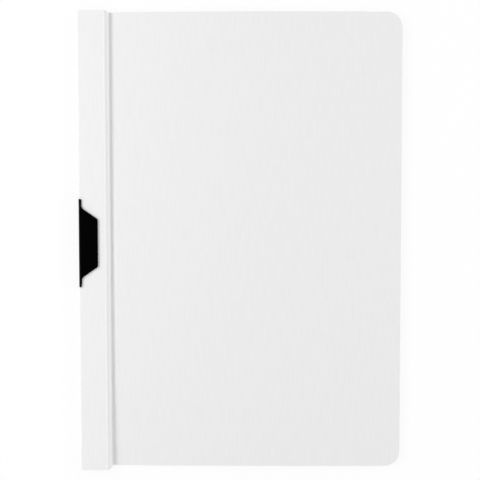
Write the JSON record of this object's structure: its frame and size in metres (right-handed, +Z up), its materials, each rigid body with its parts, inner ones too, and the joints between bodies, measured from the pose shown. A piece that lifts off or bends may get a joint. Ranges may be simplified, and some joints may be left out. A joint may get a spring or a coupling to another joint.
{
  "type": "clip folder",
  "caption": "A4 clip folder: folded plastic back cover and spine, hinged front cover, and a steel clip that swings out of the spine.",
  "frame": {"origin": "under the middle of the folder, on the surface that it lies on", "axes": "+X from the spine to the fore edge, +Y to the head of the page, +Z up out of the front cover"},
  "size_m": [0.219, 0.3124, 0.0075],
  "materials": {
    "embossed_sheet": "satin PVC sheet with a fine linen emboss",
    "black_spring_steel": "black enamel on spring steel",
    "white_moulding": "moulded white plastic"
  },
  "bodies": {
    "back": {"back_cover": "embossed_sheet", "pivot_block": "white_moulding"},
    "front": {"front_cover": "embossed_sheet"},
    "clip": {"clip": "black_spring_steel"}
  },
  "joints": [
    {"name": "front_cover_hinge", "type": "hinge", "parent": "back", "child": "front", "pos_m": [-0.0887, 0, 0.0033], "axis": [0, -1, 0], "range_deg": [0, 130]},
    {"name": "clip_pivot", "type": "hinge", "parent": "back", "child": "clip", "pos_m": [-0.10873, -0.02917, 0.00375], "axis": [0, 0, 1], "range_deg": [0, 90]}
  ]
}
